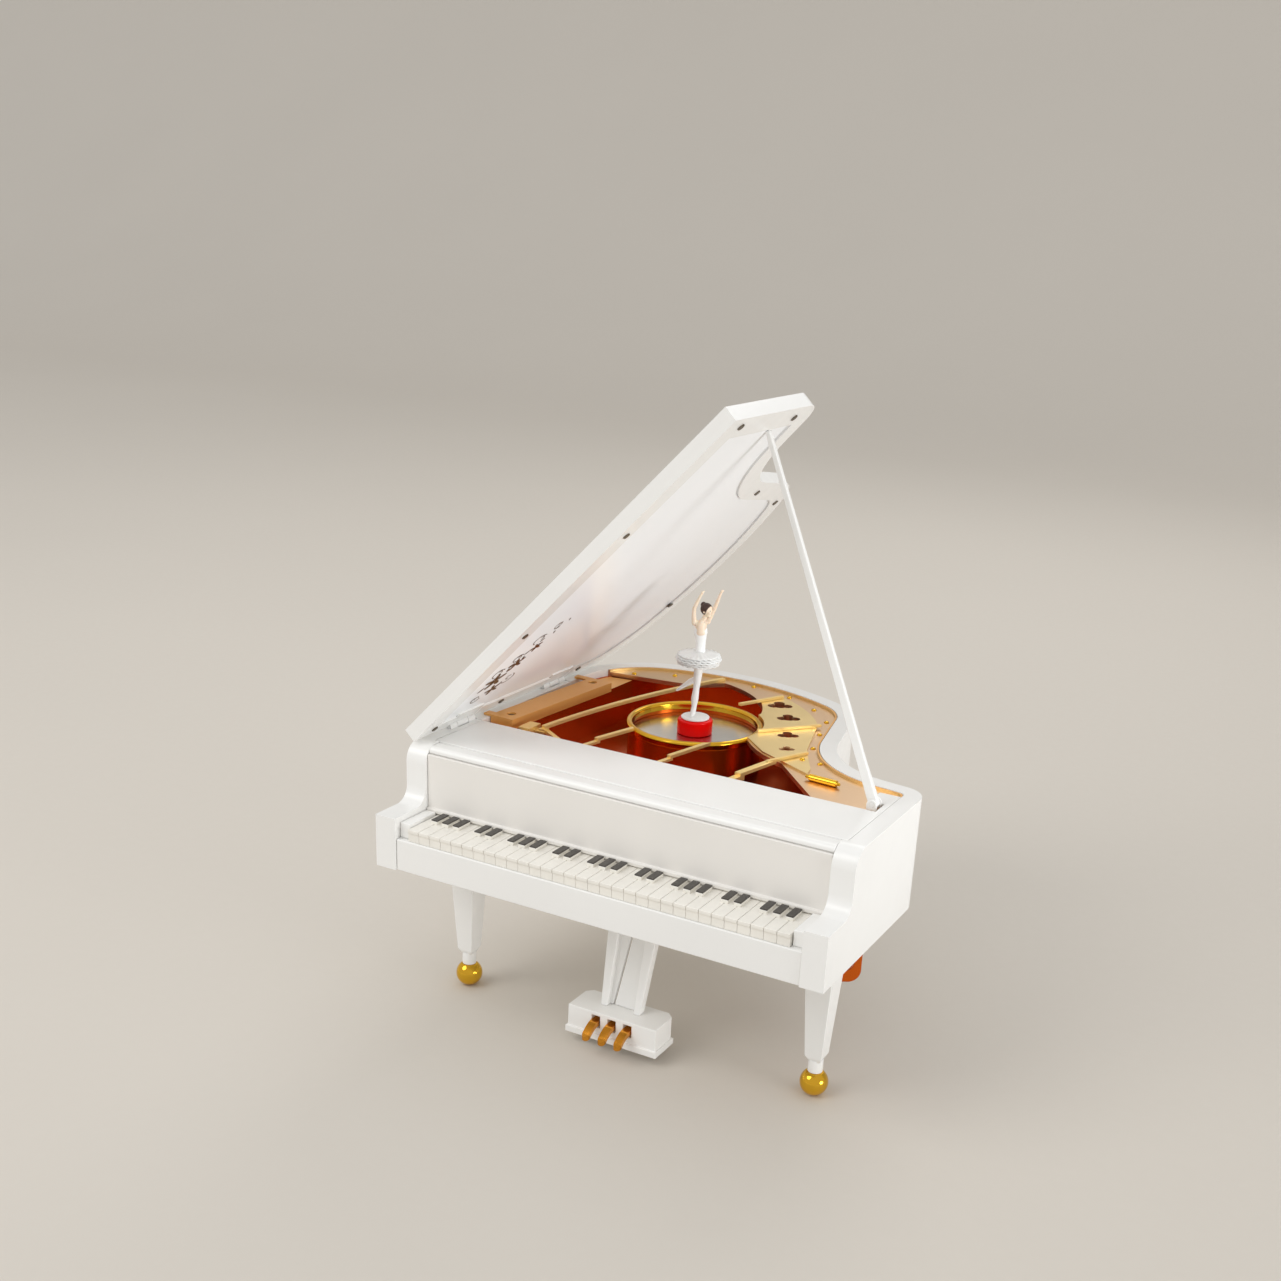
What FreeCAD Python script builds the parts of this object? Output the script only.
"""A musical jewellery box in the form of a small grand piano, with a dancer turning on a mirror.

X runs to the treble side, Y from the keyboard to the tail, Z up from the floor. Millimetres.
"""
import FreeCAD
import Part
import Sketcher
import math
import os
import re

# Driving dimensions, in millimetres and degrees.
DIMENSIONS = {
    # Where the keyboard front stands in the part's frame.
    "origin_x": 0.721,
    "origin_y": -74.295,
    # Case: outline, heights and walls.
    "case_half": 75.0,
    "case_bottom": 51.5,
    "case_top": 87.0,
    "wall": 5.5,
    "arm_thick": 7.25,
    "arm_top": 68.4,
    "arm_run": 10.5,
    "cove_radius": 5.0,
    "shoulder_radius": 6.0,
    "fit_gap": 0.1,
    # Tail outline: radius and turn of each arc, from the spine round to the cheek.
    "spine_end": 112.0,
    "spine_radius": 33.0,
    "spine_turn": 72.0,
    "tail_radius": 90.0,
    "tail_turn": 46.0,
    "hip_radius": 24.0,
    "hip_turn": 50.0,
    "waist_run": 25.0,
    "waist_radius": 30.0,
    "waist_turn": 70.0,
    "cheek_radius": 8.0,
    # Keyboard.
    "key_pitch": 3.98,
    "key_top": 65.6,
    "key_floor": 61.8,
    "key_front": 1.0,
    "key_back": 16.3,
    "key_groove": 0.35,
    "key_groove_depth": 1.2,
    "black_front": 8.9,
    "black_back": 15.1,
    "black_width": 2.2,
    "black_height": 1.4,
    "slip_front": 0.5,
    "slip_thick": 2.0,
    # Front boards and deck.
    "board_front": 16.4,
    "board_thick": 2.4,
    "deck_front": 22.8,
    "deck_back": 47.6,
    "deck_thick": 2.5,
    "ledge_front": 17.3,
    "ledge_radius": 1.6,
    # Tray, plate and mirror.
    "tray_low": 70.0,
    "tray_skin": 1.0,
    "plate_thick": 1.5,
    "mirror_x": -14.5,
    "mirror_y": 92.0,
    "mirror_radius": 21.3,
    "mirror_low": 81.0,
    "mirror_thick": 1.0,
    "ring_outer": 22.9,
    "ring_inner": 20.7,
    "ring_low": 83.4,
    "drum_outer": 22.3,
    "drum_inner": 19.6,
    "panel_rise": 0.7,
    "bar_width": 1.5,
    "plank_top": 87.8,
    # Legs and pedals.
    "cover_low": 51.9,
    "cover_thick": 2.0,
    "leg_x": 62.8,
    "leg_y": 31.5,
    "tail_leg_x": -22.0,
    "tail_leg_y": 124.0,
    "leg_head": 9.9,
    "leg_foot": 5.6,
    "leg_low": 13.7,
    "ball_radius": 4.35,
    "ball_flat": 0.1,
    "neck_radius": 2.3,
    "lyre_front": 23.0,
    "lyre_thick": 3.4,
    "lyre_lean": 9.0,
    "pedal_box_half": 15.6,
    "pedal_box_front": 18.0,
    "pedal_box_back": 30.3,
    "pedal_box_low": 3.4,
    "pedal_box_top": 12.8,
    "pedal_pitch": 5.6,
    # Lid, hinges and prop.
    "lid_open": 46.1,
    "lid_lap": 0.8,
    "lid_low": 87.3,
    "lid_thick": 4.5,
    "lid_front": 17.0,
    "lid_border": 7.4,
    "lid_recess": 2.0,
    "hinge_x": -73.2,
    "hinge_length": 14.0,
    "hinge_front": 34.0,
    "hinge_back": 88.0,
    "knuckle_radius": 1.4,
    "knuckle_room": 0.35,
    "hinge_pin_radius": 0.6,
    "hinge_bore_radius": 0.65,
    "prop_x": 65.2,
    "prop_y": 51.8,
    "prop_z": 87.7,
    "prop_length": 108.9,
    "prop_lean": 22.65,
    "prop_half": 1.5,
    "prop_tip": 0.9,
    "prop_thick": 2.2,
    # Music movement.
    "key_x": 53.0,
    "key_y": 56.0,
    "key_wing_half": 11.5,
    "key_wing_low": 25.0,
    "key_wing_high": 38.0,
    "bed_top": 56.4,
    "gear_low": 57.0,
    "gear_high": 58.5,
    "barrel_radius": 12.0,
    "pulley_radius": 7.0,
    "belt_radius": 8.0,
    "belt_half": 0.7,
    "belt_mid": 67.5,
    "cylinder_x": 47.528,
    "cylinder_y": 40.965,
    "cylinder_radius": 5.2,
    "fly_x": 40.028,
    "arbor_radius": 2.0,
    "shaft_gap": 0.05,
}
BARREL_TEETH = 30
PINION_TEETH = 10
WHEEL_TEETH = 20
FLY_TEETH = 10
WHITE_KEYS = 32
# White-key gaps, counted from the bass, that carry a black key: groups of three and two.
BLACK_GAPS = [gap for gap in range(1, WHITE_KEYS) if gap % 7 not in (0, 4)]

doc = FreeCAD.newDocument("DancerMusicBox")
sheet = doc.addObject("Spreadsheet::Sheet", "Dimensions")
for row, (alias, number) in enumerate(DIMENSIONS.items(), start=1):
    sheet.set(f"A{row}", alias)
    sheet.set(f"B{row}", str(number))
    sheet.setAlias(f"B{row}", alias)
doc.recompute()

PARTS = {}


# Expressions


def bound(text):
    """The text with the sheet's name put before every alias."""
    def with_sheet(match):
        word = match.group(0)
        return f"Dimensions.{word}" if word in DIMENSIONS else word
    return re.sub(r"[a-z][a-z_]*", with_sheet, str(text))


def value(text):
    return float(sheet.evalExpression(bound(text)))


def bind(item, name, text):
    item.setExpression(name, bound(text))


# Sketches and features

PLANES = {"Z": "XY_Plane", "Y": "XZ_Plane", "X": "YZ_Plane"}


def rect(x_low, x_high, y_low, y_high):
    return [(x_low, y_low), (x_high, y_low), (x_high, y_high), (x_low, y_high)]


def circle(x, y, radius):
    return {"x": x, "y": y, "radius": radius}


def pin_point(sketch, geometry, position, x, y):
    """Hold one sketch point at X, Y from the sketch's root."""
    for kind, text in (("DistanceX", x), ("DistanceY", y)):
        rule = Sketcher.Constraint(kind, -1, 1, geometry, position, value(text))
        bind(sketch, f"Constraints[{sketch.addConstraint(rule)}]", text)


def set_radius(sketch, geometry, text):
    rule = Sketcher.Constraint("Radius", geometry, value(text))
    bind(sketch, f"Constraints[{sketch.addConstraint(rule)}]", text)


def add_circle(sketch, loop):
    centre = FreeCAD.Vector(value(loop["x"]), value(loop["y"]), 0)
    shape = Part.Circle(centre, FreeCAD.Vector(0, 0, 1), value(loop["radius"]))
    index = sketch.addGeometry(shape)
    pin_point(sketch, index, 3, loop["x"], loop["y"])
    set_radius(sketch, index, loop["radius"])


def arc_between(start, end, radius, turn):
    """The shorter arc from start to end; turn is 1 to the left and -1 to the right."""
    chord = end - start
    rise = math.sqrt(max(radius ** 2 - chord.Length ** 2 / 4, 0))
    side = FreeCAD.Vector(-chord.y, chord.x, 0).normalize() * turn
    centre = (start + end) * 0.5 + side * rise
    first, last = (start, end) if turn > 0 else (end, start)
    angles = [math.atan2(point.y - centre.y, point.x - centre.x) for point in (first, last)]
    ring = Part.Circle(centre, FreeCAD.Vector(0, 0, 1), radius)
    return Part.ArcOfCircle(ring, angles[0], angles[1])


def add_loop(sketch, corners):
    """A closed loop. A corner is (x, y), or (x, y, radius, turn) where an arc leaves it."""
    points = [FreeCAD.Vector(value(corner[0]), value(corner[1]), 0) for corner in corners]
    ends = []
    for corner, start, end in zip(corners, points, points[1:] + points[:1]):
        if len(corner) == 2:
            ends.append((sketch.addGeometry(Part.LineSegment(start, end)), 1, 2))
            continue
        arc = arc_between(start, end, value(corner[2]), corner[3])
        index = sketch.addGeometry(arc)
        ends.append((index, 1, 2) if corner[3] > 0 else (index, 2, 1))
    for number, corner in enumerate(corners):
        index, begin, _ = ends[number]
        before, _, finish = ends[number - 1]
        sketch.addConstraint(Sketcher.Constraint("Coincident", before, finish, index, begin))
        pin_point(sketch, index, begin, corner[0], corner[1])
        if len(corner) > 2:
            set_radius(sketch, index, corner[2])


def draw(body, axis, level, loops):
    """A sketch square to the axis, at that level on it."""
    planes = body.Origin.OriginFeatures
    sketch = body.newObject("Sketcher::SketchObject", "Outline")
    sketch.AttachmentSupport = [(next(p for p in planes if p.Role == PLANES[axis]), "")]
    sketch.MapMode = "FlatFace"
    # The XZ plane faces -Y, so its levels count backwards.
    bind(sketch, "AttachmentOffset.Base.z", f"-({level})" if axis == "Y" else level)
    for loop in loops:
        if isinstance(loop, dict):
            add_circle(sketch, loop)
        else:
            add_loop(sketch, loop)
    return sketch


def grow(body, axis, loops, low, high):
    """Add material between two levels of an axis."""
    sketch = draw(body, axis, high if axis == "Y" else low, loops)
    pad = body.newObject("PartDesign::Pad", "Pad")
    pad.Profile = sketch
    bind(pad, "Length", f"({high}) - ({low})")
    return pad


def carve(body, axis, loops, low, high):
    """Cut material away between two levels of an axis."""
    doc.recompute()
    before = body.Shape.Volume
    sketch = draw(body, axis, low if axis == "Y" else high, loops)
    pocket = body.newObject("PartDesign::Pocket", "Pocket")
    pocket.Profile = sketch
    bind(pocket, "Length", f"({high}) - ({low})")
    doc.recompute()
    if not body.Shape.Volume < before:
        raise RuntimeError(f"a cut in {body.Label} removes nothing")
    return pocket


def place(item, x="0", y="0", z="0", turn=0):
    """Stand a sub-part in the frame, turned about Z."""
    item.Placement = FreeCAD.Placement(FreeCAD.Vector(), FreeCAD.Rotation(FreeCAD.Vector(0, 0, 1), turn))
    bind(item, "Placement.Base.x", f"origin_x + ({x})")
    bind(item, "Placement.Base.y", f"origin_y + ({y})")
    bind(item, "Placement.Base.z", z)


def keep(name, item, **where):
    """Name a finished sub-part and put it in its place."""
    item.Label = name
    place(item, **where)
    PARTS[name] = item
    return item


def new_body(name):
    return doc.addObject("PartDesign::Body", name)


def prism(name, axis, loops, low, high, **where):
    body = new_body(name)
    grow(body, axis, loops, low, high)
    return keep(name, body, **where)


def spin(body, profile):
    """Turn a profile of (radius, z) corners about the body's own Z axis."""
    sketch = draw(body, "Y", "0", [profile])
    turning = body.newObject("PartDesign::Revolution", "Revolution")
    turning.Profile = sketch
    turning.ReferenceAxis = (sketch, ["V_Axis"])
    turning.Angle = 360
    return turning


def turned(name, profile, **where):
    body = new_body(name)
    spin(body, profile)
    return keep(name, body, **where)


def repeat_round(body, feature, count):
    """Repeat a feature evenly about the body's Z axis."""
    planes = body.Origin.OriginFeatures
    pattern = body.newObject("PartDesign::PolarPattern", "Pattern")
    pattern.Originals = [feature]
    pattern.Axis = (next(p for p in planes if p.Role == "Z_Axis"), [""])
    pattern.Angle = 360
    pattern.Occurrences = count
    body.Tip = pattern


def repeat_along(body, feature, role, length, count):
    """Repeat a feature evenly along one axis of the body."""
    planes = body.Origin.OriginFeatures
    pattern = body.newObject("PartDesign::LinearPattern", "Pattern")
    pattern.Originals = [feature]
    pattern.Direction = (next(p for p in planes if p.Role == role), [""])
    bind(pattern, "Length", length)
    pattern.Occurrences = count
    body.Tip = pattern


def add_teeth(body, radius, count, low, high):
    """Straight-sided gear teeth: narrow enough to run with backlash at every angle."""
    pitch = f"6.2832*({radius})/{count}"
    module = f"2*({radius})/{count}"
    root = f"({radius}) - 1.15*({module})"
    tip = f"({radius}) + 0.8*({module})"
    foot_half = f"0.29*({pitch})"
    tip_half = f"0.11*({pitch})"
    tooth = [(root, f"-({foot_half})"), (tip, f"-({tip_half})"), (tip, tip_half), (root, foot_half)]
    repeat_round(body, grow(body, "Z", [tooth], low, high), count)


# Part primitives, for groups of small pieces


def bar(x_low, x_high, y_low, y_high, z_low, z_high):
    item = doc.addObject("Part::Box", "Bar")
    sides = (("Length", "x", x_low, x_high), ("Width", "y", y_low, y_high), ("Height", "z", z_low, z_high))
    for size, axis, low, high in sides:
        bind(item, size, f"({high}) - ({low})")
        bind(item, f"Placement.Base.{axis}", low)
    return item


def rod(x, y, z_low, z_high, radius):
    item = doc.addObject("Part::Cylinder", "Rod")
    bind(item, "Radius", radius)
    bind(item, "Height", f"({z_high}) - ({z_low})")
    bind(item, "Placement.Base.x", x)
    bind(item, "Placement.Base.y", y)
    bind(item, "Placement.Base.z", z_low)
    return item


def rod_along_y(x, z, y_low, y_high, radius):
    item = doc.addObject("Part::Cylinder", "Rod")
    bind(item, "Radius", radius)
    bind(item, "Height", f"({y_high}) - ({y_low})")
    item.Placement = FreeCAD.Placement(FreeCAD.Vector(), FreeCAD.Rotation(FreeCAD.Vector(1, 0, 0), -90))
    bind(item, "Placement.Base.x", x)
    bind(item, "Placement.Base.y", y_low)
    bind(item, "Placement.Base.z", z)
    return item


def limb(start, end, start_radius, end_radius):
    """A tapered limb between two points of the figure, rounded at both ends."""
    first, last = FreeCAD.Vector(*start), FreeCAD.Vector(*end)
    length = (last - first).Length
    body = new_body("Limb")
    spin(body, [("0", -start_radius, start_radius, 1), (start_radius, "0"),
                (end_radius, length, end_radius, 1), ("0", length + end_radius)])
    body.Placement = FreeCAD.Placement(first, FreeCAD.Rotation(FreeCAD.Vector(0, 0, 1), last - first))
    return body


def ball(centre, radius):
    item = doc.addObject("Part::Sphere", "Ball")
    item.Radius = radius
    item.Placement.Base = FreeCAD.Vector(*centre)
    return item


def group(items):
    item = doc.addObject("Part::Compound", "Group")
    item.Links = items
    return item


def joined(items):
    item = doc.addObject("Part::MultiFuse", "Joined")
    item.Shapes = items
    return item


def minus(base, tool):
    item = doc.addObject("Part::Cut", "Cut")
    item.Base, item.Tool = base, tool
    return item


# The piano outline


def heading(*turns):
    return "90" + "".join(turns)


H_SPINE = heading(" - spine_turn")
H_TAIL = heading(" - spine_turn", " - tail_turn")
H_HIP = heading(" - spine_turn", " - tail_turn", " - hip_turn")
H_WAIST = heading(" - spine_turn", " - tail_turn", " - hip_turn", " + waist_turn")


def bend(point, radius, before, after):
    """The end of an arc that leaves point at one heading and ends at another, turning right."""
    x = f"{point[0]} + ({radius})*(sin({before}) - sin({after}))"
    y = f"{point[1]} + ({radius})*(cos({after}) - cos({before}))"
    return x, y


def outline_joints():
    """Corner points of the outer outline, each with its outward normal, from spine to cheek."""
    spine = ("-case_half", "spine_end")
    tail = bend(spine, "spine_radius", "90", H_SPINE)
    hip = bend(tail, "tail_radius", H_SPINE, H_TAIL)
    flank = bend(hip, "hip_radius", H_TAIL, H_HIP)
    waist = (f"{flank[0]} + waist_run*cos({H_HIP})", f"{flank[1]} + waist_run*sin({H_HIP})")
    cheek = bend(waist, "-waist_radius", H_HIP, H_WAIST)
    corner_x = f"case_half - cheek_radius*(1 + sin({H_WAIST}))"
    corner_y = f"{cheek[1]} + ({corner_x} - ({cheek[0]}))*tan({H_WAIST})"
    side = ("case_half", f"{corner_y} - cheek_radius*cos({H_WAIST})")
    normals = [f"-sin({angle})" for angle in ("90", H_SPINE, H_TAIL, H_HIP, H_HIP, H_WAIST, H_WAIST)]
    rises = [f"cos({angle})" for angle in ("90", H_SPINE, H_TAIL, H_HIP, H_HIP, H_WAIST, H_WAIST)]
    points = [spine, tail, hip, flank, waist, cheek, (corner_x, corner_y), side]
    return list(zip(points, normals + ["1"], rises + ["0"]))


OUTLINE = outline_joints()
OUTLINE_ARCS = [("spine_radius", -1), ("tail_radius", -1), ("hip_radius", -1), None,
                ("waist_radius", 1), None, ("cheek_radius", -1), None]


def piano_outline(inset, front):
    """The plan of the case moved inwards by inset, cut square at the front."""
    corners = [(f"-case_half + ({inset})", front)]
    for ((x, y), normal, rise), arc in zip(OUTLINE, OUTLINE_ARCS):
        corner = (f"{x} - ({inset})*({normal})", f"{y} - ({inset})*({rise})")
        if arc:
            radius, turn = arc
            corner += (f"{radius} {'+' if turn > 0 else '-'} ({inset})", turn)
        corners.append(corner)
    corners.append((f"case_half - ({inset})", front))
    return corners


# Case

ARM_INSIDE = "case_half - arm_thick - fit_gap"
INSIDE = "wall + fit_gap"
BOARD_BACK = "board_front + board_thick"


def make_case_shell():
    body = new_body("case_shell")
    grow(body, "Z", [piano_outline("0", "0")], "case_bottom", "case_top")
    carve(body, "Z", [piano_outline("wall", "deck_front - 0.2")], "case_bottom - 1", "case_top + 1")
    between = rect("-case_half + arm_thick", "case_half - arm_thick", "-1", "deck_front")
    carve(body, "Z", [between], "case_bottom - 1", "case_top + 1")
    shoulder = "case_top - shoulder_radius"
    back = "arm_run + cove_radius"
    scroll = [("-1", "arm_top"), ("arm_run", "arm_top", "cove_radius", 1),
              (back, "arm_top + cove_radius"), (back, shoulder, "shoulder_radius", -1),
              (f"{back} + shoulder_radius", "case_top"), (f"{back} + shoulder_radius", "case_top + 1"),
              ("-1", "case_top + 1")]
    carve(body, "X", [scroll], "-case_half - 1", "case_half + 1")
    for low, high in hinge_spans():
        carve(body, "Y", [circle("hinge_x", "lid_low", "knuckle_radius + knuckle_room")], low, high)
        leaf_seat = rect("hinge_x", "-case_half + wall + 0.2", low, high)
        carve(body, "Z", [leaf_seat], "lid_low - 1.15", "case_top + 1")
    keep("case_shell", body)


def make_bottom_cover():
    body = new_body("bottom_cover")
    top = "cover_low + cover_thick"
    grow(body, "Z", [piano_outline(INSIDE, "deck_front - 0.1")], "cover_low", top)
    # Posts that carry the tray floor.
    posts = [circle(x, y, "2.5") for x, y in ((-58, 60), (-50, 120), (25, 100))]
    grow(body, "Z", posts, top, "tray_low")
    carve(body, "Z", [circle("key_x", "key_y", "3.2")], "cover_low - 1", f"{top} + 1")
    keep("bottom_cover", body)


def make_keyboard():
    inner = f"-({ARM_INSIDE})", ARM_INSIDE
    slip_back = "slip_front + slip_thick"
    prism("key_bed", "Z", [rect(*inner, slip_back, "deck_front - 0.2")], "cover_low", "key_floor")
    prism("key_slip", "Z", [rect(*inner, "slip_front", slip_back)], "case_bottom", "key_floor - 0.1")
    keys_half = f"key_pitch*{WHITE_KEYS}/2"
    block_sides = ((f"{keys_half} + 0.2", ARM_INSIDE), (f"-({ARM_INSIDE})", f"-{keys_half} - 0.2"))
    blocks = [bar(low, high, slip_back, "board_front - 0.9", "key_floor", "key_top + 1")
              for low, high in block_sides]
    keep("key_blocks", group(blocks))

    body = new_body("white_keys")
    grow(body, "Z", [rect(f"-{keys_half}", keys_half, "key_front", "key_back")], "key_floor", "key_top")
    first = f"-{keys_half} + key_pitch"
    groove = rect(f"{first} - key_groove/2", f"{first} + key_groove/2", "0", "key_back + 1")
    cut = carve(body, "Z", [groove], "key_top - key_groove_depth", "key_top + 1")
    repeat_along(body, cut, "X_Axis", f"key_pitch*{WHITE_KEYS - 2}", WHITE_KEYS - 1)
    keep("white_keys", body)

    blacks = []
    for gap in BLACK_GAPS:
        middle = f"key_pitch*{gap - WHITE_KEYS // 2}"
        blacks.append(bar(f"{middle} - black_width/2", f"{middle} + black_width/2", "black_front",
                          "black_back", "key_top", "key_top + black_height"))
    keep("black_keys", group(blacks))


def make_front_boards():
    inner = f"-({ARM_INSIDE})", ARM_INSIDE
    under_deck = "case_top - deck_thick"
    # The board stands behind the keys and carries the deck's front edge.
    board = new_body("name_board")
    grow(board, "Z", [rect(*inner, "board_front", BOARD_BACK)], "key_floor + 0.1", under_deck)
    strip = rect(*inner, "board_front - 0.8", "board_front + 1")
    grow(board, "Z", [strip], "key_top + 0.25", "key_top + 1.7")
    keep("name_board", board)
    ledge_back, ledge_top = "deck_front - 0.1", "case_top - 0.3"
    nose = [("ledge_front", under_deck), (ledge_back, under_deck), (ledge_back, ledge_top),
            ("ledge_front + ledge_radius", ledge_top, "ledge_radius", 1),
            ("ledge_front", f"{ledge_top} - ledge_radius")]
    prism("front_ledge", "X", [nose], *inner)
    deck = new_body("top_board")
    bass, treble = f"-case_half + {INSIDE}", f"case_half - ({INSIDE})"
    grow(deck, "Z", [rect(bass, treble, "deck_front", "deck_back")], under_deck, "case_top")
    # A tab along the rim lies on the plate, open round the prop's foot.
    tab = [("prop_x + 2.1", "deck_back - 1"), (treble, "deck_back - 1"), (treble, "63.2"), ("62.5", "63.2"),
           ("62.5", "prop_y + 3"), ("prop_x + 2.1", "prop_y + 3")]
    grow(deck, "Z", [tab], f"{PLATE_TOP} + 0.05", "case_top")
    keep("top_board", deck)


# Tray, plate and mirror

PLATE_LOW = "case_top - 1 - plate_thick"
PLATE_TOP = "case_top - 1"
PANEL_TOP = f"{PLATE_TOP} + panel_rise"
BAR_LOW = f"{PLATE_LOW} + 0.8"
PLANK_SCREWS = ((-64.2, 57), (-61.5, 103.7))


def make_tray():
    body = new_body("gold_tray")
    grow(body, "Z", [piano_outline("wall + 0.2", "deck_back + 0.4")], "tray_low", PLATE_LOW)
    inside = piano_outline("wall + 0.2 + tray_skin", "deck_back + 0.4 + tray_skin")
    carve(body, "Z", [inside], "tray_low + tray_skin", "case_top")
    carve(body, "Z", [circle("mirror_x", "mirror_y", "3.2")], "tray_low - 1", "tray_low + tray_skin + 1")
    keep("gold_tray", body)


def make_plate():
    body = new_body("gold_plate")
    grow(body, "Z", [piano_outline("wall + 0.2", "deck_back + 0.1")], PLATE_LOW, "case_top - 0.15")
    # Only a lip stays standing along the rim, and none beside the deck's tab.
    carve(body, "Z", [piano_outline("wall + 0.8", "deck_back")], PLATE_TOP, "case_top")
    carve(body, "Z", [rect("60", "case_half", "deck_back", "63.4")], PLATE_TOP, "case_top")
    # The raised panel round the rose holes.
    panel = [("18", "76"), ("38.1", "65.4"), ("37.2", "70"), ("30.2", "83"), ("28.8", "86.4"),
             ("21.7", "111.2", "55", 1), ("-3.2", "133.6"), ("-15", "108")]
    grow(body, "Z", [panel], PLATE_TOP, PANEL_TOP)
    through = f"{PLATE_LOW} - 1", f"{PLATE_TOP} + 1"
    # The open well on the bass side, with its S-shaped edge and a shelf left at the tail.
    well = [("-90", "40"), ("55", "40"), ("27", "71", "40", -1), ("0.8", "111", "38", 1), ("-26", "137.2"),
            ("-37.5", "127.5"), ("-90", "120")]
    carve(body, "Z", [well], *through)
    carve(body, "Z", [circle("mirror_x", "mirror_y", "ring_outer + 0.1")], *through)
    roses = ((2.2, 123.1, 3.9), (10.5, 112, 3.6), (17.9, 95.4, 3.2), (23.3, 82.8, 2.3))
    # Each rose hole has three lobes round its middle, and its long side faces the treble corner of the keys.
    lobes = ((-0.6, -0.15, 0.5), (0.6, -0.15, 0.5), (0, 0.6, 0.5), (0, -0.1, 0.62))
    for x, y, size in roses:
        for across, along, radius in lobes:
            right, back = 0.866 * across - 0.5 * along, 0.5 * across + 0.866 * along
            carve(body, "Z", [circle(x + right * size, y + back * size, radius * size)], *through)
    keep("gold_plate", body)

    rivets = [(-15.6, 139.2), (0.3, 135.2), (13.2, 127.3), (22.2, 117.3), (25.6, 103.8), (29.4, 89.7),
              (37.2, 77.4), (-45, 134), (-58, 127)]
    heads = [rod(x, y, PLATE_TOP, f"{PLATE_TOP} + 0.6", "0.9") for x, y in rivets]
    heads.append(rod("31.6", "76.3", PANEL_TOP, f"{PANEL_TOP} + 0.6", "0.9"))
    heads += [rod(x, y, "plank_top - 1.2", "plank_top - 0.6", "1.3") for x, y in PLANK_SCREWS]
    keep("plate_rivets", group(heads))

    # A sleeve with a thin nose and a knob lies on the plate.
    rail = []
    along = FreeCAD.Rotation(FreeCAD.Vector(0, 0, 1), FreeCAD.Vector(9.4, -0.8, 0))
    for start, length, radius in ((-1.2, 1.3, 0.6), (0, 9.4, 1.05), (9.3, 1.1, 0.5)):
        piece = doc.addObject("Part::Cylinder", "Rail")
        piece.Radius, piece.Height = radius, length
        step = along.multVec(FreeCAD.Vector(0, 0, start))
        piece.Placement = FreeCAD.Placement(FreeCAD.Vector(40.2, 62.3, value(PLATE_TOP) + 1.06) + step, along)
        rail.append(piece)
    keep("hitch_rail", joined(rail))


def strut(start, end, width="bar_width", low=PLATE_LOW, thick="1"):
    """A straight bar of the frame between two plan points."""
    run = FreeCAD.Vector(end[0] - start[0], end[1] - start[1], 0)
    item = doc.addObject("Part::Box", "Strut")
    item.Length = run.Length
    bind(item, "Width", width)
    bind(item, "Height", thick)
    turn = FreeCAD.Rotation(FreeCAD.Vector(1, 0, 0), run)
    middle = turn.multVec(FreeCAD.Vector(0, -value(width) / 2, 0))
    item.Placement = FreeCAD.Placement(FreeCAD.Vector(start[0], start[1], value(low)) + middle, turn)
    return item


def make_string_bars():
    wall_top, wall_front = f"{PLATE_LOW} + 0.05", value("deck_back") + 0.6
    # Two bars from the mirror stage, each on a lower foot that rests on the tray's front wall.
    bars = [strut((-31.5, 56.6), (-26.2, 77), low=BAR_LOW), strut((-4.7, 56), (-0.1, 76), low=BAR_LOW),
            strut((-33.2, wall_front), (-31.2, 57.6), low=wall_top, thick="0.8"),
            strut((-6.4, wall_front), (-4.4, 57), low=wall_top, thick="0.8")]
    # The treble bar lies on the plate and goes on as a thin rod over the panel.
    bars += [strut((20.9, 52.4), (24.7, 70), "2.2", f"{PLATE_TOP} + 0.05", "1.1"),
             strut((20.1, wall_front), (21.3, 54.5), "2.2", wall_top, "1.6")]
    rods = [((23.9, 66.5), (30.9, 81.8)), ((-13, 105.9), (-0.6, 131.6)), ((8.5, 92.1), (23.2, 110))]
    bars += [strut(start, end, "1.1", f"{PANEL_TOP} + 0.05", "0.9") for start, end in rods]
    # Bracket beside the bass box, its foot, and the tie and hook of the bass bar.
    bars += [bar("-57.1", "-53", "50.6", "57.4", wall_top, "case_top - 0.5"),
             bar("-56", "-54", f"{wall_front}", "51", wall_top, f"{PLATE_LOW} + 0.9"),
             bar("-53.5", "-49", "53.2", "56.2", wall_top, f"{PLATE_LOW} + 0.9"),
             bar("-51.4", "-49", "53.6", "56.2", wall_top, f"{PLATE_TOP} + 0.1"),
             strut((-38.9, wall_front), (-49.6, 55.4), low=wall_top, thick="1.2")]
    sweep = new_body("bass_bar")
    edges = [("-50.8", "54.6"), ("-49.3", "54.2", "304", -1), ("-27", "139.2"),
             ("-28.5", "139.6", "305.5", 1)]
    grow(sweep, "Z", [edges], f"{PLATE_TOP} + 0.05", f"{PLATE_TOP} + 1.15")
    hub = rod("mirror_x", "mirror_y", "ring_low - 5", "case_top + 1", "ring_outer")
    keep("string_bars", minus(joined(bars + [sweep]), hub))


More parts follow.
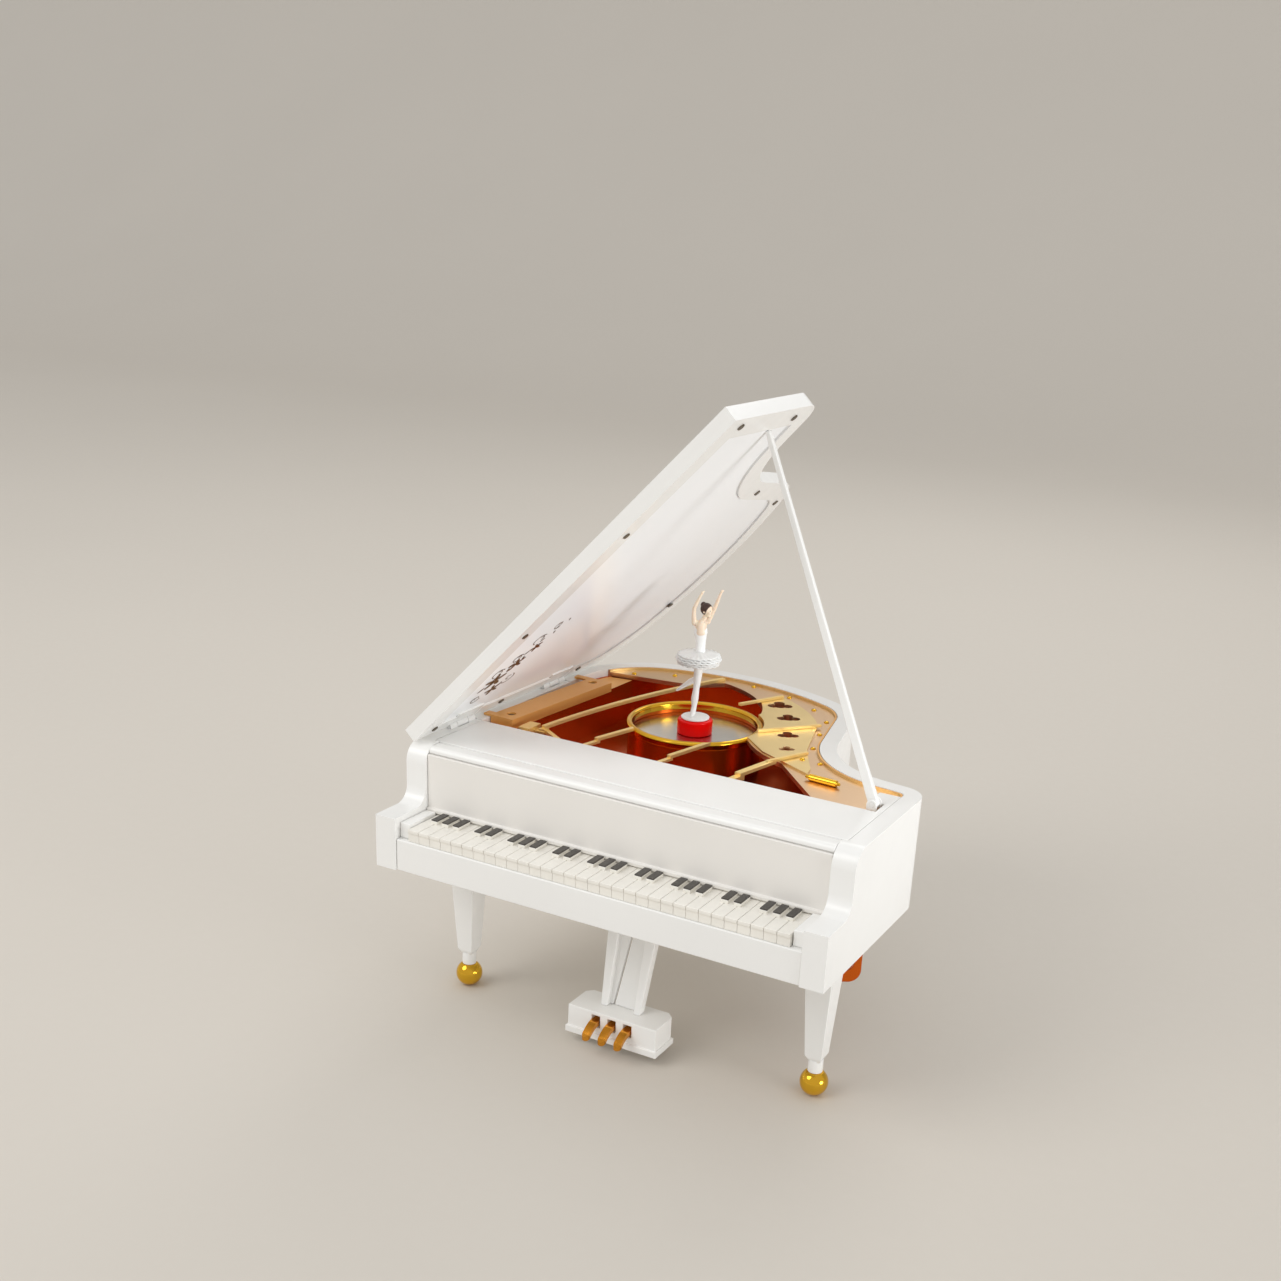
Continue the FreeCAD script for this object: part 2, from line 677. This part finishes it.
def make_bass_box():
    body = new_body("bass_box")
    floor, shelf = "tray_low + tray_skin", f"{PLATE_LOW} + 0.1"
    plan = [("-68.1", "49.2"), ("-59.6", "49.2"), ("-56.9", "123.6"), ("-65.6", "122.4"), ("-67.6", "116"),
            ("-68.1", "111")]
    grow(body, "Z", [plan], floor, shelf)
    hollow = [("-66.9", "50.4"), ("-60.9", "50.4"), ("-58.2", "122.2"), ("-64.6", "121.2"), ("-66.4", "115"),
              ("-66.9", "110")]
    carve(body, "Z", [hollow], f"{floor} - 1", f"{shelf} - 1.2")
    # The plank on it stands a little askew, with tabs over the rim at both ends.
    plank = [("-60.2", "51.6"), ("-55.9", "107.2"), ("-64.87", "107.9"), ("-69.17", "52.3")]
    grow(body, "Z", [plank], f"{PLATE_LOW} + 0.05", "plank_top")
    tabs = [[("-68.5", "52.2"), ("-68.3", "55.1"), ("-71.8", "55.3"), ("-72", "52.5")],
            [("-64.9", "107.9"), ("-70.5", "108.3"), ("-70.3", "105.6"), ("-65", "105.2")]]
    grow(body, "Z", tabs, "case_top + 0.1", "plank_top")
    sinks = [circle(x, y, "1.6") for x, y in PLANK_SCREWS]
    carve(body, "Z", sinks, "plank_top - 1.2", "plank_top + 1")
    keep("bass_box", body)


def make_mirror():
    here = {"x": "mirror_x", "y": "mirror_y"}
    floor = "tray_low + tray_skin"
    turned("mirror_drum", [("drum_inner", floor), ("drum_outer", floor), ("drum_outer", "ring_low"),
                           ("mirror_radius + 0.2", "ring_low"), ("mirror_radius + 0.2", "mirror_low"),
                           ("drum_inner", "mirror_low")], **here)
    disc = circle("0", "0", "mirror_radius")
    prism("mirror_disc", "Z", [disc], "mirror_low", "mirror_low + mirror_thick", **here)
    half = "(ring_outer - ring_inner)/2"
    turned("mirror_ring", [("ring_inner", "ring_low"), ("ring_outer", "ring_low"),
                           ("ring_outer", f"{PLATE_TOP} - {half}", half, 1),
                           (f"ring_outer - {half}", PLATE_TOP, half, 1),
                           ("ring_inner", f"{PLATE_TOP} - {half}")], **here)


# Legs, lyre and pedals


def make_legs():
    places = {"front_left": ("-leg_x", "leg_y"), "front_right": ("leg_x", "leg_y"),
              "tail": ("tail_leg_x", "tail_leg_y")}
    for name, (x, y) in places.items():
        body = new_body(f"leg_{name}")
        head = draw(body, "Z", "cover_low", [rect("-leg_head/2", "leg_head/2", "-leg_head/2", "leg_head/2")])
        foot = draw(body, "Z", "leg_low", [rect("-leg_foot/2", "leg_foot/2", "-leg_foot/2", "leg_foot/2")])
        taper = body.newObject("PartDesign::AdditiveLoft", "Taper")
        taper.Profile = head
        taper.Sections = [foot]
        taper.Ruled = True
        doc.recompute()
        start = draw(body, "Z", "leg_low", [rect("-leg_foot/2", "leg_foot/2", "-leg_foot/2", "leg_foot/2")])
        tip = draw(body, "Z", "leg_low - 1.8", [rect("-1.9", "1.9", "-1.9", "1.9")])
        slope = body.newObject("PartDesign::AdditiveLoft", "Slope")
        slope.Profile = start
        slope.Sections = [tip]
        slope.Ruled = True
        doc.recompute()
        spin(body, [("0", "2*ball_radius - 0.8"), ("neck_radius", "2*ball_radius - 0.8"),
                    ("neck_radius", "leg_low - 1.5"), ("0", "leg_low - 1.5")])
        keep(f"leg_{name}", body, x=x, y=y)
        low, top = "ball_flat", "2*ball_radius - 0.8"
        turned(f"ball_foot_{name}", [("0", "0"), ("0.927", "0", "ball_radius", 1),
                                     ("ball_radius", f"ball_radius - {low}", "ball_radius", 1),
                                     ("2.366", top), ("0", top)], x=x, y=y)


def make_lyre():
    body = new_body("pedal_lyre")

    def leaning(front, back):
        """Side outline of a sheet that leans back from the pedal box to the case bottom."""
        return [(front, "pedal_box_top"), (back, "pedal_box_top"), (f"{back} + lyre_lean", "cover_low"),
                (f"{front} + lyre_lean", "cover_low")]

    grow(body, "X", [leaning("lyre_front", "lyre_front + lyre_thick")], "-9.4", "9.4")
    carve(body, "X", [leaning("lyre_front - 20", "lyre_front + lyre_thick - 1.2")], "-4.6", "4.6")
    through = "lyre_front - 1", "lyre_front + lyre_lean + lyre_thick + 1"
    for side in ("-1", "1"):
        taper = [(f"{side}*6.9", "pedal_box_top - 1"), (f"{side}*9.5", "cover_low + 1"),
                 (f"{side}*12", "cover_low + 1"), (f"{side}*12", "pedal_box_top - 1")]
        carve(body, "Y", [taper], *through)
    slit = [("-3.8", "pedal_box_top - 1"), ("-3.1", "pedal_box_top - 1"), ("0.9", "46"), ("0.2", "46")]
    carve(body, "Y", [slit], *through)
    keep("pedal_lyre", body)

    body = new_body("pedal_box")
    cut = "2"
    plan = [("-pedal_box_half", "pedal_box_front"), ("pedal_box_half", "pedal_box_front"),
            ("pedal_box_half", f"pedal_box_back - {cut}"), (f"pedal_box_half - {cut}", "pedal_box_back"),
            (f"-pedal_box_half + {cut}", "pedal_box_back"), ("-pedal_box_half", f"pedal_box_back - {cut}")]
    grow(body, "Z", [plan], "pedal_box_low", "pedal_box_top")
    slots = [rect(f"{n}*pedal_pitch - 1.5", f"{n}*pedal_pitch + 1.5", "7.6", "11.6") for n in (-1, 0, 1)]
    carve(body, "Y", slots, "pedal_box_front - 1", "pedal_box_front + 4")
    # The foot under it stands out a little all round.
    foot = rect("-pedal_box_half - 0.6", "pedal_box_half + 0.6", "pedal_box_front - 0.6",
                "pedal_box_back - 1.5")
    grow(body, "Z", [foot], "pedal_box_low", "pedal_box_low + 2.2")
    keep("pedal_box", body)

    pedals = []
    for n in (-1, 0, 1):
        pedal = new_body(f"pedal_{n + 2}")
        root, bend_at = "pedal_box_front + 4", "pedal_box_front - 1"
        side = [(root, "8.6"), (root, "10.2"), (bend_at, "10.2", "9", 1), ("11.4", "7.1", "1", 1),
                ("11.4", "5.5"), (bend_at, "8.6")]
        grow(pedal, "X", [side], f"{n}*pedal_pitch - 1.3", f"{n}*pedal_pitch + 1.3")
        pedals.append(pedal)
    keep("pedals", group(pedals))


# Lid, hinges and prop


def hinge_spans():
    return [(start, f"{start} + hinge_length") for start in ("hinge_front", "hinge_back")]


def open_up(item):
    """Swing a lid piece from its closed place to its propped angle about the hinge line."""
    swing = FreeCAD.Rotation(FreeCAD.Vector(0, -1, 0), value("lid_open"))
    item.Placement = FreeCAD.Placement(FreeCAD.Vector(), swing)
    across = "hinge_x*cos(lid_open) - lid_low*sin(lid_open)"
    up = "hinge_x*sin(lid_open) + lid_low*cos(lid_open)"
    bind(item, "Placement.Base.x", f"origin_x + hinge_x - ({across})")
    bind(item, "Placement.Base.y", "origin_y")
    bind(item, "Placement.Base.z", f"lid_low - ({up})")


def keep_on_lid(name, item):
    item.Label = name
    open_up(item)
    PARTS[name] = item


def make_lid():
    body = new_body("lid_shell")
    top = "lid_low + lid_thick"
    grow(body, "Z", [piano_outline("-lid_lap", "lid_front")], "lid_low", top)
    carve(body, "Z", [rect("-90", "hinge_x", "0", "160")], "lid_low - 1", f"{top} + 1")
    inner_front = "lid_front + lid_border + 1"
    recess = piano_outline("lid_border", inner_front)
    carve(body, "Z", [recess], "lid_low - 1", "lid_low + lid_recess")
    for low, high in hinge_spans():
        carve(body, "Y", [circle("hinge_x", "lid_low", "knuckle_radius + knuckle_room")], low, high)
        carve(body, "Z", [rect("hinge_x", "hinge_x + 7.4", low, high)], "lid_low - 1", "lid_low + 0.75")
    keep_on_lid("lid_shell", body)

    liner = new_body("lid_liner")
    panel = piano_outline("lid_border + 0.2", f"{inner_front} + 0.2")
    grow(liner, "Z", [panel], "lid_low + lid_recess - 0.8", "lid_low + lid_recess")
    keep_on_lid("lid_liner", liner)

    # Distance from the hinge and place along it of each screw in the lid's border.
    screws = [(145.5, 25), (144.5, 60), (103.7, 99.8), (92, 132), (101, 21.5), (54, 21.5), (4, 24), (4, 60),
              (4, 108), (32, 139)]
    heads = [rod(f"hinge_x + {along}", y, "lid_low - 0.2", "lid_low", "1.4") for along, y in screws]
    keep_on_lid("lid_screws", group(heads))


def leaf(low, high, inner_edge, z_low, z_high, knuckles):
    """One leaf of a hinge: a plate, tabs to its knuckles, and the knuckles bored for the pin."""
    pieces = [bar("hinge_x + 1.75", inner_edge, f"{low} + 0.3", f"{high} - 0.3", z_low, z_high)]
    bores = []
    for start, end in knuckles:
        pieces.append(bar("hinge_x", "hinge_x + 1.75", start, end, z_low, z_high))
        pieces.append(rod_along_y("hinge_x", "lid_low", start, end, "knuckle_radius"))
        bores.append(rod_along_y("hinge_x", "lid_low", f"{start} - 1", f"{end} + 1", "hinge_bore_radius"))
    return minus(joined(pieces), joined(bores) if len(bores) > 1 else bores[0])


def make_hinges():
    case_leaves, lid_leaves, pins = [], [], []
    for low, high in hinge_spans():
        ends = [(f"{low} + 0.4", f"{low} + 4"), (f"{high} - 4", f"{high} - 0.4")]
        middle = [(f"{low} + 4.2", f"{high} - 4.2")]
        case_leaves.append(leaf(low, high, "-case_half + wall", "lid_low - 1.05", "lid_low - 0.45", ends))
        lid_leaves.append(leaf(low, high, "hinge_x + 7.2", "lid_low + 0.1", "lid_low + 0.7", middle))
        pins.append(rod_along_y("hinge_x", "lid_low", f"{low} + 0.4", f"{high} - 0.4", "hinge_pin_radius"))
    keep("hinge_case_leaves", group(case_leaves))
    keep_on_lid("hinge_lid_leaves", group(lid_leaves))
    keep("hinge_pins", group(pins))


def make_prop():
    body = new_body("lid_prop")
    stick = [("prop_half", "0"), ("prop_half", "12"), ("prop_tip", "prop_length"),
             ("-prop_tip", "prop_length"), ("-prop_half", "12"), ("-prop_half", "0", "prop_half", 1),
             ("0", "-prop_half", "prop_half", 1)]
    grow(body, "Y", [stick], "-prop_thick/2", "prop_thick/2")
    carve(body, "Y", [circle("0", "0", "0.85")], "-prop_thick", "prop_thick")
    body.Label = "lid_prop"
    lean = FreeCAD.Rotation(FreeCAD.Vector(0, -1, 0), value("prop_lean"))
    body.Placement = FreeCAD.Placement(FreeCAD.Vector(), lean)
    bind(body, "Placement.Base.x", "origin_x + prop_x")
    bind(body, "Placement.Base.y", "origin_y + prop_y")
    bind(body, "Placement.Base.z", "prop_z")
    PARTS["lid_prop"] = body

    ear_gap = "prop_thick/2 + 0.2"
    ear = [("-1.6", PLATE_TOP), ("1.6", PLATE_TOP), ("1.6", "prop_z", "1.6", 1),
           ("0", "prop_z + 1.6", "1.6", 1), ("-1.6", "prop_z")]
    ears = []
    for low, high in ((f"-({ear_gap}) - 0.9", f"-({ear_gap})"), (ear_gap, f"{ear_gap} + 0.9")):
        cheek = new_body("Ear")
        grow(cheek, "Y", [ear], low, high)
        carve(cheek, "Y", [circle("0", "prop_z", "0.8")], f"{low} - 1", f"{high} + 1")
        ears.append(cheek)
    keep("prop_bracket", group(ears), x="prop_x", y="prop_y")
    pin = rod_along_y("0", "prop_z", f"-({ear_gap}) - 0.9", f"{ear_gap} + 0.9", "0.8")
    keep("prop_pin", group([pin]), x="prop_x", y="prop_y")


# Music movement, under the deck and tray


def pulley(shaft):
    """The rim of a flat-belt pulley, as profile corners from its lower to its upper flange."""
    rim = "pulley_radius + 2.2"
    return [(shaft, "belt_mid - 1.6"), (rim, "belt_mid - 1.6"), (rim, "belt_mid - 1.2"),
            ("pulley_radius", "belt_mid - 1.2"), ("pulley_radius", "belt_mid + 1.2"),
            (rim, "belt_mid + 1.2"), (rim, "belt_mid + 1.6")]


def belt_loop(offset):
    """A loop round both pulleys at a distance from their axes."""
    span = "sqrt((mirror_x - key_x)^2 + (mirror_y - key_y)^2)"
    ux, uy = f"(mirror_x - key_x)/{span}", f"(mirror_y - key_y)/{span}"
    r = f"({offset})"

    def corner(x, y, across, along):
        return f"{x} + {r}*({across}*{uy} + {along}*{ux})", f"{y} + {r}*(-{across}*{ux} + {along}*{uy})"

    key, mirror = ("key_x", "key_y"), ("mirror_x", "mirror_y")
    return [corner(*key, 1, 0), corner(*mirror, 1, 0) + (r, 1), corner(*mirror, 0, 1) + (r, 1),
            corner(*mirror, -1, 0), corner(*key, -1, 0) + (r, 1), corner(*key, 0, -1) + (r, 1)]


def make_drive():
    cover_top = "cover_low + cover_thick"
    key = {"x": "key_x", "y": "key_y"}
    mirror = {"x": "mirror_x", "y": "mirror_y"}
    bore = "arbor_radius + shaft_gap"

    body = new_body("spring_barrel")
    root = f"barrel_radius - 1.1*2*barrel_radius/{BARREL_TEETH}"
    spin(body, [(bore, "gear_low"), (root, "gear_low"), (root, "gear_high"), ("10", "gear_high"),
                ("10", "65"), ("9.4", "65"), ("9.4", "gear_high + 0.5"), ("3.2", "gear_high + 0.5"),
                *pulley("3.2"), (bore, "belt_mid + 1.6")])
    add_teeth(body, "barrel_radius", BARREL_TEETH, "gear_low", "gear_high")
    keep("spring_barrel", body, **key)
    turned("mainspring", rect("3.5", "9.1", "gear_high + 0.7", "64.6"), **key)
    prism("winding_arbor", "Z", [circle("0", "0", "arbor_radius")], "41", "belt_mid + 2.2", **key)

    body = new_body("winding_key")
    side, low, high, bend_radius = "key_wing_half", "key_wing_low", "key_wing_high", "4"
    wing = [(f"-{side}", f"{low} + 4", bend_radius, 1), (f"-{side} + 4", low),
            (f"{side} - 4", low, bend_radius, 1), (side, f"{low} + 4"),
            (side, f"{high} - 4", bend_radius, 1), (f"{side} - 4", high),
            (f"-{side} + 4", high, bend_radius, 1), (f"-{side}", f"{high} - 4")]
    grow(body, "Y", [wing], "-1.6", "1.6")
    grow(body, "Z", [circle("0", "0", "3.6")], f"{high} - 1", "48")
    eyes = [circle(x, f"({low} + {high})/2", "2.6") for x in (f"-{side} + 5", f"{side} - 5")]
    carve(body, "Y", eyes, "-2", "2")
    carve(body, "Z", [circle("0", "0", "arbor_radius")], "41", "49")
    keep("winding_key", body, turn=30, **key)

    body = new_body("magnet_carrier")
    pin_bore = "1.5 + shaft_gap"
    disc = "mirror_low - 4.6", "mirror_low - 1.6"
    spin(body, [(pin_bore, f"{cover_top} + 0.6"), ("2.6", f"{cover_top} + 0.6"), *pulley("2.6"),
                ("2.6", "belt_mid + 1.6"), ("2.6", disc[0]), ("17.5", disc[0]), ("17.5", disc[1]),
                (pin_bore, disc[1])])
    seats = [circle(x, "0", "2.25") for x in ("-4.6", "4.6")]
    carve(body, "Z", seats, f"{disc[1]} - 2", f"{disc[1]} + 1")
    keep("magnet_carrier", body, **mirror)
    magnets = [rod(x, "0", f"{disc[1]} - 2", disc[1], "2.2") for x in ("-4.6", "4.6")]
    keep("carrier_magnets", group(magnets), **mirror)
    prism("carrier_pin", "Z", [circle("0", "0", "1.5")], cover_top, "mirror_low - 2", **mirror)
    prism("drive_belt", "Z", [belt_loop("belt_radius + belt_half"), belt_loop("belt_radius - belt_half")],
          "belt_mid - belt_half", "belt_mid + belt_half")


def make_music():
    cover_top = "cover_low + cover_thick"
    body = new_body("movement_bedplate")
    grow(body, "Z", [rect("25", "66", "32", "64")], cover_top, "bed_top")
    pivots = [circle("cylinder_x", "cylinder_y", "1 + shaft_gap"),
              circle("fly_x", "cylinder_y", "0.8 + shaft_gap")]
    arbor_hole = circle("key_x", "key_y", "arbor_radius + shaft_gap")
    carve(body, "Z", pivots + [arbor_hole], f"{cover_top} - 1", "bed_top + 1")
    keep("movement_bedplate", body)

    body = new_body("music_cylinder")
    spin(body, [("0", f"{cover_top} + 0.3"), ("1", f"{cover_top} + 0.3"), ("1", "gear_low"),
                ("3", "gear_low"), ("3", "gear_high"), ("1", "gear_high"), ("1", "59.2"), ("4.5", "59.2"),
                ("4.5", "60.4"), ("1", "60.4"), ("1", "61"), ("cylinder_radius", "61"),
                ("cylinder_radius", "78"), ("1", "78"), ("1", "80.4"), ("0", "80.4")])
    add_teeth(body, "4", PINION_TEETH, "gear_low", "gear_high")
    add_teeth(body, "5", WHEEL_TEETH, "59.2", "60.4")
    notes = ((-1.2, 62.2), (0.4, 65.4), (1.1, 68.6), (-0.5, 71.8), (0.8, 75))
    rows = [circle(y, z, "0.25") for y, z in notes]
    repeat_round(body, grow(body, "X", rows, "cylinder_radius - 0.4", "cylinder_radius + 0.5"), 8)
    # The pinion's gap faces the barrel's tooth.
    toward = math.degrees(math.atan2(value("key_y - cylinder_y"), value("key_x - cylinder_x")))
    keep("music_cylinder", body, x="cylinder_x", y="cylinder_y", turn=toward + 180 / PINION_TEETH)
    barrel_turn = toward + 180 - 360 / BARREL_TEETH * round((toward + 180) * BARREL_TEETH / 360)
    place(PARTS["spring_barrel"], x="key_x", y="key_y", turn=barrel_turn)

    body = new_body("governor")
    spin(body, [("0", f"{cover_top} + 0.3"), ("0.8", f"{cover_top} + 0.3"), ("0.8", "59.2"), ("1.9", "59.2"),
                ("1.9", "60.4"), ("0.8", "60.4"), ("0.8", "83.6"), ("0", "83.6")])
    add_teeth(body, "2.5", FLY_TEETH, "59.2", "60.4")
    grow(body, "Z", [rect("-6", "6", "-0.3", "0.3")], "80.8", "83.6")
    # Its pinion meets the wheel on the cylinder's bass side.
    wheel_turn = (toward + 180 / PINION_TEETH) % (360 / WHEEL_TEETH)
    meet = (180 - wheel_turn) % (360 / WHEEL_TEETH) * WHEEL_TEETH / FLY_TEETH
    keep("governor", body, x="fly_x", y="cylinder_y", turn=meet + 180 / FLY_TEETH)

    body = new_body("music_comb")
    comb_back = "cylinder_y - cylinder_radius - 0.8"
    comb_face = rect("cylinder_x - 18.7", "cylinder_x + 0.8", "61", "78")
    grow(body, "Y", [comb_face], f"{comb_back} - 0.8", comb_back)
    slot_plan = rect("cylinder_x - 11.7", "cylinder_x + 2", "61.9", "62.4")
    slot = carve(body, "Y", [slot_plan], f"{comb_back} - 2", f"{comb_back} + 1")
    repeat_along(body, slot, "Z_Axis", "14.4", 17)
    keep("music_comb", body)
    block_plan = rect("cylinder_x - 19.7", "cylinder_x - 13.7", comb_back, f"{comb_back} + 4.6")
    prism("comb_block", "Z", [block_plan], "bed_top", "78.6")

    body = new_body("movement_bridge")
    bridge_plan = rect("cylinder_x - 19.7", "cylinder_x + 8.3", comb_back, "cylinder_y + 6.3")
    grow(body, "Z", [bridge_plan], "78.6", "80")
    carve(body, "Z", pivots, "78", "81")
    pillars = [circle("cylinder_x - 11.4", "cylinder_y + 4.7", "1.6"),
               circle("cylinder_x + 6.5", "cylinder_y - 4.3", "1.6")]
    grow(body, "Z", pillars, "bed_top", "78.6")
    keep("movement_bridge", body)

    corners = ((40, 33.8), (63.5, 34.5), (27.5, 61.5), (64, 42))
    heads = [rod(x, y, "bed_top", "bed_top + 1.2", "1.6") for x, y in corners]
    heads += [rod_along_y("cylinder_x - 16.7", z, f"{comb_back} - 1.8", f"{comb_back} - 0.8", "1.3")
              for z in ("65", "74")]
    keep("movement_screws", group(heads))
    spots = ((-52, 26), (52, 26), (64, 58), (-64, 100), (0, 136))
    keep("bottom_screws", group([rod(x, y, "case_bottom", "cover_low", "2") for x, y in spots]))


# Dancer

FIGURE_TURN = 27


def make_dancer():
    here = {"x": "mirror_x", "y": "mirror_y", "z": "mirror_low + mirror_thick + 0.05", "turn": FIGURE_TURN}
    turned("dancer_base", [("3.1", "0"), ("5.7", "0"), ("5.9", "0.4"), ("5.9", "4.4"), ("5.3", "5"),
                           ("0", "5"), ("0", "2.1"), ("3.1", "2.1")], **here)
    prism("dancer_magnet", "Z", [circle("0", "0", "3")], "0.1", "2", **here)

    plinth = doc.addObject("Part::Cylinder", "Plinth")
    plinth.Radius, plinth.Height = 4.7, 0.8
    plinth.Placement.Base = FreeCAD.Vector(0, 0, 5)
    pieces = [plinth]
    # Standing leg, raised leg, trunk, neck, head and arms, each as start, end and their radii.
    limbs = [((-0.9, -0.4, 6.4), (-0.5, 0, 9.6), 1.3, 1.05), ((-0.5, 0, 9.5), (-0.1, 0, 15), 1.08, 1.2),
             ((-0.1, 0, 14.9), (0.3, 0, 24.6), 1.23, 1.5),
             ((-0.2, 0.6, 23.6), (0.2, 5, 17.4), 1.35, 1.0),
             ((0.15, 4.95, 17.45), (-6.7, 9, 11.5), 1.02, 0.6),
             ((0.3, 0, 25), (0.4, 0, 30), 1.9, 1.72), ((0.4, 0, 29.9), (0.2, 0, 36), 1.75, 2.3),
             ((-2, 0, 37.3), (2.3, 0, 37.9), 0.95, 0.93), ((0.5, 0, 37.3), (1.5, 0, 41), 0.85, 0.8),
             ((2.4, 0, 38.1), (4.3, -0.3, 42.6), 0.82, 0.7),
             ((4.28, -0.3, 42.5), (6.2, -0.5, 48.5), 0.68, 0.45),
             ((-2.2, 0, 37.5), (-2.3, -0.6, 42.2), 0.84, 0.7),
             ((-2.28, -0.58, 42.1), (0.2, -1, 48), 0.68, 0.45)]
    pieces += [limb(*values) for values in limbs]
    pieces.append(ball((1.9, -0.1, 42.7), 1.95))
    figure = joined(pieces)
    keep("dancer_figure", figure, **here)
    turned("dancer_tutu", [("2.3", "24.6"), ("4.5", "23.9"), ("7.1", "23.8"), ("7.7", "24.4"), ("7.7", "25"),
                           ("7.2", "25.6"), ("4.5", "26.3"), ("2.3", "27")], **here)
    cap = joined([ball((1.5, 0.25, 43.1), 2.05), ball((0.2, 0.7, 44.1), 1.1)])
    keep("dancer_hair", minus(cap, ball((1.9, -0.1, 42.7), 1.96)), **here)


def write_parts():
    doc.recompute()
    for item in doc.Objects:
        if {"Invalid", "Error"} & set(item.State):
            raise RuntimeError(f"{item.Label} did not rebuild: {item.State}")
    os.makedirs("parts", exist_ok=True)
    for name, item in PARTS.items():
        if item.Shape.isNull() or not item.Shape.isValid():
            raise RuntimeError(f"{name} has no sound shape")
        item.Shape.exportStep(f"parts/{name}.step")


for make in (make_case_shell, make_bottom_cover, make_keyboard, make_front_boards, make_tray, make_plate,
             make_string_bars, make_bass_box, make_mirror, make_legs, make_lyre, make_lid, make_hinges,
             make_prop, make_drive, make_music, make_dancer):
    make()
write_parts()
box = Part.makeCompound([item.Shape for item in PARTS.values()]).optimalBoundingBox(False)
print(f"{len(PARTS)} sub-parts, {box.XLength:.2f} x {box.YLength:.2f} x {box.ZLength:.2f}")
print(f"middle at {box.Center.x:.3f}, {box.Center.y:.3f}, lowest point {box.ZMin:.3f}")
